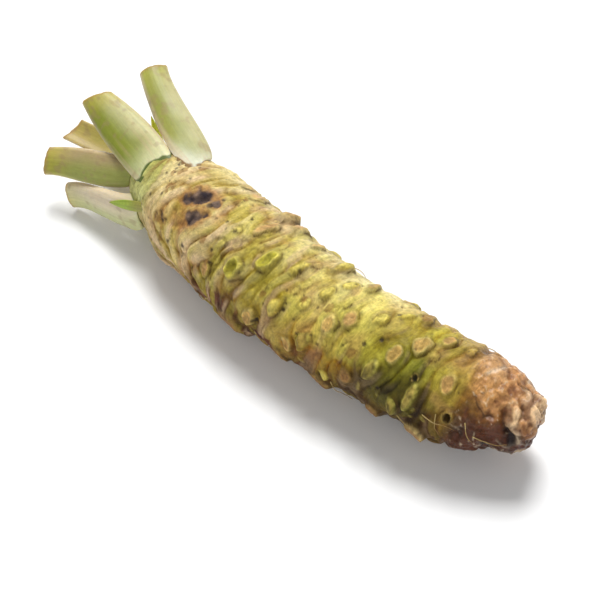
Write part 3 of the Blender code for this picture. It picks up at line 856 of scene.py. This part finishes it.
def rootlet_grid(start, end, rise, seed):
    """A tube 0.3 mm thick, thinning to its tip, along a line that leaves the skin and wanders."""
    run = np.concatenate([[0.0], np.linspace(0, 1, 40), [1.0]])
    open_up = np.concatenate([[0.0], np.ones(40), [0.0]])
    waver = unevenness(np.stack([3 * run, 0 * run + seed, 0 * run], -1), 1.0, 91)
    along = MM * (start[0] + (end[0] - start[0]) * run + 1.2 * waver * run)
    turned = np.radians(start[1] + (end[1] - start[1]) * run + 5 * waver * run)
    plain = np.interp(along, *np.transpose(GIRTH))
    above = MM * (SKIN_RISE + rise * np.sin(math.pi * np.minimum(1.15 * run, 1)))
    middle = on_skin(along, turned, plain + above)
    heading = unit(np.gradient(middle[1:-1], axis=0))
    heading = np.concatenate([heading[:1], heading, heading[-1:]])
    outward = across_path(middle - centre_line(along)[0], heading)
    sideways = np.cross(heading, outward)
    turn = np.linspace(0, 2 * math.pi, 8, endpoint=False)[None, :, None]
    thick = (MM * ROOTLET_RADIUS * open_up * (1.1 - 0.6 * run))[:, None, None]
    ring = thick * (np.cos(turn) * sideways[:, None] + np.sin(turn) * outward[:, None])
    return middle[:, None] + ring, run[:, None] + 0 * turn[..., 0]


for number, (start, end, rise) in enumerate(ROOTLETS):
    points, run = rootlet_grid(start, end, rise, number)
    straw = mix(paint(196, 172, 112), paint(150, 112, 62), run)
    values = dict(skin=straw, gloss=0.5 + 0 * run, grain=points / MM)
    thread = make_piece(f"rootlet_{number + 1}", points, **values)
    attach(thread, "root")

# %% [markdown]
# ## The leaf stalks
#
# A wasabi stalk is round on its back and hollow along its front, and it widens where it clasps
# the stem. Each one is that crescent carried along a curve with one bend, from its seat on the
# crown to its cut. The seats lie a little inside the crown here, so no gap shows.

# %% Seats on the crown
SINK = 0.0007
crown_middle, crown_forward, crown_side = centre_line(np.array(0.0))
OUT = -crown_forward


def seat_height(radius):
    """Height above the collar of a surface just under the crown's own."""
    return dome(np.maximum(radius + SINK, 0)) - SINK


def away_from_axis(angle):
    """The direction out from the crown's axis at an angle in degrees."""
    turn = math.radians(angle)
    return math.cos(turn) * crown_side + math.sin(turn) * UP


def seat_point(radius, angle):
    """The point on that surface at this radius and angle."""
    return crown_middle + seat_height(radius) * OUT + radius * away_from_axis(angle)


def over_crown(points):
    """(height, radius): how far points are along the crown's axis, and how far from it."""
    offset = points - crown_middle
    height = offset @ OUT
    return height, np.linalg.norm(offset - height[..., None] * OUT, axis=-1)


def seat_lift(points):
    """How far each point has to move along the crown's axis to lie on that surface."""
    height, radius = over_crown(points)
    return seat_height(radius) - height


# %% The path and section of a stalk
KNEE = 0.4
ROLL_END = 0.6
FOOT_SLOPE = 0.3


def stalk_path(shape, run):
    """A curve with one bend, its heading, and the two axes of its section.

    The curve blends base, knee and tip by the squares of its two shares.
    """
    base = seat_point(shape["seat_radius"] * MM, shape["angle"])
    tip = MM * np.array(shape["tip"])
    chord = tip - base
    reach = np.linalg.norm(chord)
    knee = base + KNEE * reach * unit(OUT + shape["lean"] * chord / reach)
    knee = knee + MM * np.array(shape["bow"])
    t = run[:, None]
    middle = (1 - t) ** 2 * base + 2 * t * (1 - t) * knee + t**2 * tip
    heading = unit(2 * (1 - t) * (knee - base) + 2 * t * (tip - knee))
    outward = across_path(away_from_axis(shape["angle"]), heading)
    sideways = np.cross(heading, outward)
    roll = mix(*np.radians(shape["roll"]), smooth_step(0, ROLL_END, t))
    outward = np.cos(roll) * outward + np.sin(roll) * sideways
    return middle, heading, outward, np.cross(heading, outward), reach


def crescent(turn, channel, back_power):
    """A round back and a hollow front, for a half width of 1: powers of the sine.

    A smaller power makes the back flatter, with squarer corners.
    """
    x = np.cos(turn)
    bulge = np.sin(turn)
    back = 0.5 * np.abs(bulge) ** back_power
    front = -0.5 * np.abs(bulge) ** 0.7 + channel * bulge**2
    return x, np.where(bulge > 0, back, front)


# %% A stalk as a grid
def stalk_grid(shape, seed):
    """The crescent carried along the path, with fine ribs and a dished, ragged cut.

    Returns the points, the share of the length, the turn round the section and the cut mask.
    """
    run = np.concatenate([np.zeros(5), np.linspace(0, 1, 92), np.ones(14)])
    spread = np.concatenate([np.linspace(0, 1, 6)[:-1], np.ones(92), np.linspace(1, 0, 15)[1:]])
    turn = np.linspace(0, 2 * math.pi, 88, endpoint=False)[None]
    middle, heading, outward, sideways, reach = stalk_path(shape, run)
    t = run[:, None]
    foot_width, tip_width = shape["width"]
    width = mix(tip_width, foot_width, (1 - t) ** shape["flare"])
    width = MM * (width + shape["belly"] * np.sin(math.pi * t))
    channel = mix(*shape["channel"], t)
    x, y = crescent(turn, channel, 0.55 + 0.30 * smooth_step(0, 0.35, t))
    ribs = np.sin(turn * 17 + 3 * t + seed) + 0.7 * np.sin(turn * 29 - 2 * t + 2 * seed)
    size = spread[:, None] * (1 + 0.006 * ribs * smooth_step(0.05, 0.3, t))
    across = 0.5 * width * size * x
    core = channel / 2
    depth = MM * mix(*shape["thick"], t) * (core + size * (y - core))
    cut = (1 - spread[:, None]) * (t > 0.99)
    ahead = t * shape["slant"] * across - 0.0009 * np.sqrt(cut)
    points = middle[:, None] + ahead[..., None] * heading[:, None]
    points = points + across[..., None] * sideways[:, None] + depth[..., None] * outward[:, None]
    rough = 0.00018 * unevenness(points, 0.0012, seed + 60) * smooth_step(0.9, 1.0, t)
    waves = 0.00012 * unevenness(points, 0.004, seed)
    points = points + rough[..., None] * heading[:, None] + waves[..., None] * outward[:, None]
    lift = seat_lift(points)
    lift = np.maximum((1 - t) ** 3 * lift, lift + FOOT_SLOPE * reach * t)
    points = points + lift[..., None] * OUT
    return points, t + 0 * turn, turn + 0 * t, cut + 0 * turn, reach


# %% The five stalks: places and sizes in mm, from part.py
STALK_SETTINGS = (
    "angle", "seat_radius", "tip", "lean", "bow", "width", "belly", "flare", "thick", "channel",
    "slant", "roll",
)  # fmt: skip
STALKS = {
    "leaf_stalk_front": (
        116, 11.5, (-93.6, 3.1, 33.4), 0.4, (0.5, 1.2, 0.6), (15.2, 10.8),
        3.2, 0.8, (6.4, 6.6), (0.6, 0.35), -0.42, (0, 0),
    ),
    "leaf_stalk_upper": (
        65, 14.0, (-86.8, 24.8, 36.0), 3.0, (0, 0, 0), (13.8, 10.4),
        0.0, 3.0, (5.0, 6.4), (0.6, 0.4), 0.15, (10, -20),
    ),
    "leaf_stalk_left": (
        149, 8.1, (-98.0, -19.6, 15.9), 2.0, (0, 0, 0), (10.2, 10.0),
        0.6, 1.0, (4.2, 5.8), (0.3, 0.4), -0.25, (0, 0),
    ),
    "leaf_stalk_lower": (
        189, 13.0, (-86.9, -19.7, 6.1), 2.0, (0, -1, 0), (10.6, 10.2),
        0.8, 1.5, (4.0, 5.6), (0.55, 0.6), -0.12, (0, 0),
    ),
    "leaf_stalk_back": (
        300, 11.5, (-105.6, -0.6, 13.0), 1.0, (0, 0, 0), (11.0, 9.4),
        0.0, 1.5, (4.6, 5.4), (0.5, 0.5), 0.35, (0, 0),
    ),
}  # fmt: skip
# Paints of each stalk: its two sides (minus, plus), its hollow front, base, tip and the painted
# shade along the seam at its foot. The paler side paint is partly a painted highlight.
STALK_PAINTS = {
    "leaf_stalk_front": [
        (130, 138, 52), (190, 186, 136), (176, 178, 104), (226, 226, 184),
        (188, 174, 84), (64, 84, 12),
    ],
    "leaf_stalk_upper": [
        (146, 148, 74), (188, 182, 136), (164, 164, 88), (255, 255, 244),
        (170, 168, 78), (128, 96, 50),
    ],
    "leaf_stalk_left": [
        (150, 154, 84), (166, 148, 106), (196, 192, 130), (160, 168, 92),
        (180, 170, 56), (96, 108, 34),
    ],
    "leaf_stalk_lower": [
        (190, 192, 140), (212, 198, 170), (206, 192, 156), (226, 226, 184),
        (196, 190, 126), (120, 124, 54),
    ],
    "leaf_stalk_back": [
        (174, 164, 92), (182, 150, 126), (178, 166, 92), (186, 176, 120),
        (184, 164, 92), (96, 108, 34),
    ],
}  # fmt: skip


def above_crown(points):
    """How far points stand off the crown, in mm: their height over it, by the slope there."""
    height, radius = over_crown(points)
    slope = CROWN_RISE * CROWN_POWER / COLLAR_RADIUS * (radius / COLLAR_RADIUS) ** (CROWN_POWER - 1)
    return (height - dome(radius)) / np.hypot(1, slope) / MM


# %% Colours of a stalk
def stalk_colour(paints, points, run, turn, cut, seed):
    """Blends the paints by side, front and length, then adds pale margins and a dried cut edge."""
    minus, plus, front, base, tip, seam_shade = paints
    side = smooth_step(-0.35, 0.75, np.cos(turn) + 0.25 * unevenness(points, 0.006, seed))
    lines = np.stack([np.cos(turn), np.sin(turn)], -1)
    streak = unevenness(np.concatenate([run[..., None] * 2, lines * 9], -1), 1.0, seed + 3)
    blush = unevenness(np.concatenate([run[..., None] * 2.5, lines * 6], -1), 1.0, seed + 5)
    blush = smooth_step(0.15, 0.55, blush) * (1 - smooth_step(0.1, 0.8, run))
    flecks = unevenness(points, 0.0016, seed + 1) + 0.6 * unevenness(points, 0.005, seed + 2)
    pith = 0.5 + 0.5 * unevenness(points, 0.0012, seed + 4)
    clear = above_crown(points) + 0.2 * unevenness(points, 0.002, seed + 3)
    colour = layered(
        # The paler side paint is partly a painted highlight.
        mix(paint(*minus), paint(*plus), side),
        (front, 0.6 * (1 - smooth_step(-0.3, 0.1, np.sin(turn)))),
        (base, 0.72 * (1 - smooth_step(0.0, 0.42, run))),
        (tip, 0.6 * smooth_step(0.72, 1.0, run)),
        # Pale margins at the section's edges, partly a painted highlight.
        ((214, 194, 160), 0.55 * band(1.0, 0.10, np.abs(np.cos(turn)))),
    )
    colour = layered(
        colour * (1 + 0.08 * streak[..., None]),
        ((196, 164, 136), 0.38 * blush),
        ((158, 122, 78), 0.75 * band(1.0, 0.018, run) * (1 - smooth_step(0.05, 0.3, cut))),
    )
    pith = mix(paint(214, 206, 150), paint(186, 178, 110), pith)
    colour = layered(
        mix(colour, pith, smooth_step(0.06, 0.25, cut)),
        ((150, 124, 96), 0.35 * smooth_step(0.35, 0.75, flecks)),
        # Painted shade along the seam where the foot meets the crown.
        (seam_shade, 0.9 * (1 - smooth_step(0.05, 0.24, clear)) * (run < 0.5)),
    )
    return np.clip(colour, 0.002, 0.95)


# %% Build the stalks
for seed, (node, settings) in enumerate(STALKS.items()):
    shape = dict(zip(STALK_SETTINGS, settings))
    points, run, turn, cut, reach = stalk_grid(shape, seed)
    colour = stalk_colour(STALK_PAINTS[node], points, run, turn, cut, 70 + 5 * seed)
    fibres = np.stack([9 * np.cos(turn), 0.6 * reach * run / MM, 6 * np.sin(turn)], -1)
    gloss = 1 - smooth_step(0, 0.1, cut)
    stalk = make_piece(node + "_skin", points, skin=colour, gloss=gloss, grain=fibres)
    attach(stalk, "root")
    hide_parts(node)

# %% [markdown]
# ## The buds
#
# Two leaves had only started: one folded point between the upper stalks, one flat green scale
# low on the near side. Each is a spindle whose fatness rises and falls along its length.

# %% Buds
BUDS = {  # (angle, seat radius, tip, width, thickness, paint of the foot, paint of the middle)
    # The young leaf is painted brighter than its own yellow-green: painted light where the upper
    # stalk shades it.
    "young_leaf": (30, 5.0, (-78.4, 14.1, 27.2), 4.8, 3.6, (240, 234, 120), (232, 234, 76)),
    "side_bud": (163, 16.0, (-66.6, -19.4, 16.4), 4.4, 1.4, (150, 146, 74), (150, 172, 66)),
}


def bud_grid(angle, seat_radius, tip, width, thick):
    """A spindle from seat to tip: its size is 1 minus a power of the share, fuller below."""
    base = seat_point(seat_radius * MM, angle)
    tip = MM * np.array(tip)
    heading = unit(tip - base)
    outward = across_path(away_from_axis(angle), heading)
    sideways = np.cross(heading, outward)
    run = np.concatenate([np.zeros(3), np.linspace(0, 1, 50)])[:, None]
    opening = np.concatenate([np.linspace(0, 1, 4)[:-1], np.ones(50)])[:, None]
    turn = np.linspace(0, 2 * math.pi, 36, endpoint=False)[None]
    fat = opening * (1 - run**1.6) * (0.75 + 0.9 * run) * (1 + 0.05 * np.sin(5 * turn))
    ring = width * (fat * np.cos(turn))[..., None] * sideways
    ring = ring + thick * (fat * np.sin(turn))[..., None] * outward
    points = base + run[..., None] * (tip - base) + 0.5 * MM * ring
    lift = np.maximum(seat_lift(points), 0) * (1 - run) ** 4
    return points + lift[..., None] * OUT, run + 0 * turn, turn + 0 * run


for node, (*shape, foot, middle) in BUDS.items():
    points, run, turn = bud_grid(*shape)
    colour = mix(paint(*foot), paint(*middle), smooth_step(0.1, 0.6, run))
    fibres = np.stack([20 * run, 4 * np.cos(turn), 4 * np.sin(turn)], -1)
    veins = unevenness(fibres * (0.1, 1, 1), 1.0, 100)
    colour = colour * (1 + 0.18 * veins[..., None])
    colour = layered(colour, ((110, 100, 40), 0.6 * smooth_step(0.9, 1, run)))
    bud = make_piece(node + "_skin", points, skin=colour, gloss=0.6 + 0 * run, grain=fibres)
    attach(bud, "root")
    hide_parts(node)

# %% [markdown]
# ## Materials
#
# Every piece carries its painted colour at its vertices, about half a millimetre apart. What is
# finer than that comes from the shader: a mottle, lines that follow the folds or the fibres, and
# a bump. Plant skin is also a little see-through, which subsurface scattering gives, and it is
# damp, which is a coat: thin on the dry folds and thicker on the glossy broken end.

# %% Node helpers
def add_node(tree, kind, **settings):
    """A node of this kind, with its own settings and the given inputs."""
    node = tree.nodes.new(kind)
    for key, value in settings.items():
        if hasattr(node, key):
            setattr(node, key, value)
        else:
            node.inputs[key.replace("_", " ")].default_value = value
    return node


def join(tree, *links):
    """Links nodes: each link is a node, its output, another node and its input."""
    for giver, output, taker, taken in links:
        tree.links.new(giver.outputs[output], taker.inputs[taken])


def new_group(name, inputs, outputs):
    """A shader node group with these sockets, and its two end nodes."""
    group = bpy.data.node_groups.new(name, "ShaderNodeTree")
    for label, kind, value in inputs:
        socket = group.interface.new_socket(label, in_out="INPUT", socket_type=kind)
        if value is not None:
            socket.default_value = value
    for label, kind in outputs:
        group.interface.new_socket(label, in_out="OUTPUT", socket_type=kind)
    return group, group.nodes.new("NodeGroupInput"), group.nodes.new("NodeGroupOutput")


# %% A mottle that every skin shares
mottle, given, result = new_group(
    "plant_mottle",
    [("Colour", "NodeSocketColor", None), ("Grain", "NodeSocketVector", None),
     ("Blotches", "NodeSocketFloat", 0.3), ("Lines", "NodeSocketFloat", 0.3)],
    [("Colour", "NodeSocketColor"), ("Height", "NodeSocketFloat")],
)  # fmt: skip
where = add_node(mottle, "ShaderNodeTexCoord")
cloud = add_node(mottle, "ShaderNodeTexNoise", Scale=650.0, Detail=5.0, Roughness=0.65)
squeeze = add_node(mottle, "ShaderNodeMapping", Scale=(1.0, 0.22, 0.22))
lines = add_node(mottle, "ShaderNodeTexNoise", Scale=2.2, Detail=4.0, Roughness=0.6)
spread = dict(From_Min=0.3, From_Max=0.7, To_Min=-1.0, To_Max=1.0)
cloud_light, lines_light = (add_node(mottle, "ShaderNodeMapRange", **spread) for _ in range(2))
blotch_part, line_part = (
    add_node(mottle, "ShaderNodeMath", operation="MULTIPLY") for _ in range(2)
)
both, level = (add_node(mottle, "ShaderNodeMath", operation="ADD") for _ in range(2))
level.inputs[1].default_value = 1.0
tinted = add_node(mottle, "ShaderNodeVectorMath", operation="SCALE")
join(
    mottle,
    (where, "Object", cloud, "Vector"),
    (given, "Grain", squeeze, "Vector"),
    (squeeze, "Vector", lines, "Vector"),
    (cloud, "Fac", cloud_light, "Value"),
    (lines, "Fac", lines_light, "Value"),
    (cloud_light, "Result", blotch_part, 0),
    (given, "Blotches", blotch_part, 1),
    (lines_light, "Result", line_part, 0),
    (given, "Lines", line_part, 1),
    (blotch_part, "Value", both, 0),
    (line_part, "Value", both, 1),
    (both, "Value", level, 0),
    (given, "Colour", tinted, "Vector"),
    (level, "Value", tinted, "Scale"),
    (tinted, "Vector", result, "Colour"),
    (both, "Value", result, "Height"),
)
print("the mottle group has", len(mottle.nodes), "nodes")


# %% One material maker for the skins
def plant_skin(name, blotches, lines, bump, roughness, coat, see_through):
    """Painted colour with the mottle over it; rougher and drier where the kept gloss is low."""
    material = bpy.data.materials.new(name)
    material.use_nodes = True
    tree = material.node_tree
    shader = tree.nodes["Principled BSDF"]
    colour, grain, gloss = (
        add_node(tree, "ShaderNodeAttribute", attribute_name=label)
        for label in ("skin", "grain", "gloss")
    )
    group = add_node(tree, "ShaderNodeGroup", node_tree=mottle, Blotches=blotches, Lines=lines)
    dull = add_node(tree, "ShaderNodeMapRange", To_Min=roughness[0], To_Max=roughness[1])
    wet = add_node(
        tree, "ShaderNodeMapRange", From_Min=0.2, From_Max=0.8, To_Min=0.02, To_Max=coat
    )
    relief = add_node(tree, "ShaderNodeBump", Strength=1.0, Distance=bump)
    join(
        tree,
        (colour, "Color", group, "Colour"),
        (grain, "Vector", group, "Grain"),
        (group, "Colour", shader, "Base Color"),
        (group, "Height", relief, "Height"),
        (relief, "Normal", shader, "Normal"),
        (gloss, "Fac", dull, "Value"),
        (dull, "Result", shader, "Roughness"),
        (gloss, "Fac", wet, "Value"),
        (wet, "Result", shader, "Coat Weight"),
    )
    shader.inputs["Subsurface Weight"].default_value = see_through
    shader.inputs["Subsurface Radius"].default_value = (1.0, 0.7, 0.25)
    shader.inputs["Subsurface Scale"].default_value = 0.0016
    shader.inputs["Specular IOR Level"].default_value = 0.12
    shader.inputs["Coat Roughness"].default_value = 0.26
    return material


# (blotches, lines, bump in metres, roughness dull and glossy, coat, see-through)
FINISHES = {
    "rhizome_skin": (0.30, 0.18, 0.00035, (0.54, 0.28), 0.22, 0.06),
    "stalk_skin": (0.06, 0.06, 0.00008, (0.60, 0.42), 0.12, 0.25),
    "bud_skin": (0.08, 0.12, 0.00010, (0.50, 0.38), 0.20, 0.20),
}
skins = {name: plant_skin(name, *settings) for name, settings in FINISHES.items()}
for piece in list(bpy.data.objects):
    if piece.name.endswith("_skin") or piece.name.startswith("rootlet"):
        finish = "rhizome_skin" if piece.name.startswith("r") else "stalk_skin"
        if piece.name.removesuffix("_skin") in BUDS:
            finish = "bud_skin"
        piece.data.materials.append(skins[finish])
print("finishes:", sorted(skins))

# %% [markdown]
# ## The table, the light and the camera
#
# A pale table, one large soft light high on the left and a white sky around: soft shadows show
# the knobs without hiding the colours.

# %% Table
mesh = bpy.data.meshes.new("table")
mesh.from_pydata([(-3, -3, 0), (3, -3, 0), (3, 3, 0), (-3, 3, 0)], [], [(0, 1, 2, 3)])
table = bpy.data.objects.new("table", mesh)
bpy.context.scene.collection.objects.link(table)
plain = bpy.data.materials.new("table_top")
plain.use_nodes = True
top = plain.node_tree.nodes["Principled BSDF"]
top.inputs["Base Color"].default_value = (0.93, 0.93, 0.93, 1)
top.inputs["Roughness"].default_value = 0.8
mesh.materials.append(plain)


# %% Light
def facing(back):
    """The turn of a lamp or camera whose back points this way, level from side to side."""
    back = unit(back)
    right = unit(np.cross(UP, back))
    return Matrix(np.column_stack([right, np.cross(back, right), back]).tolist()).to_euler()


def soft_light(name, place, aim, size, power):
    """A square area light at a place, turned to shine at the aim: the larger, the softer."""
    lamp = bpy.data.lights.new(name, "AREA")
    lamp.size = size
    lamp.energy = power
    light = bpy.data.objects.new(name, lamp)
    light.location = place
    light.rotation_euler = facing(np.array(place) - np.array(aim))
    bpy.context.scene.collection.objects.link(light)
    return light


soft_light("key", (-0.7, 0.9, 2.1), (0, 0, 0.02), 1.0, 62.0)
soft_light("fill", (0.9, -1.4, 1.2), (0, 0, 0.02), 1.4, 9.0)
world = bpy.data.worlds.new("sky")
bpy.context.scene.world = world
world.use_nodes = True
sky = world.node_tree.nodes["Background"]
sky.inputs["Color"].default_value = (1.0, 1.0, 1.0, 1)
sky.inputs["Strength"].default_value = 0.34
bpy.context.scene.view_settings.view_transform = "Standard"

# %% Camera
AIM = np.array([0.0145, -0.0088, 0.018])
AZIMUTH, ELEVATION, DISTANCE = math.radians(42), math.radians(50), 0.556
back = np.array([
    math.sin(AZIMUTH) * math.cos(ELEVATION),
    -math.cos(AZIMUTH) * math.cos(ELEVATION),
    math.sin(ELEVATION),
])
camera = bpy.data.objects.new("camera", bpy.data.cameras.new("camera"))
camera.data.lens = 100
camera.data.sensor_width = 36
camera.location = AIM + DISTANCE * back
camera.rotation_euler = facing(back)
bpy.context.scene.collection.objects.link(camera)
bpy.context.scene.camera = camera
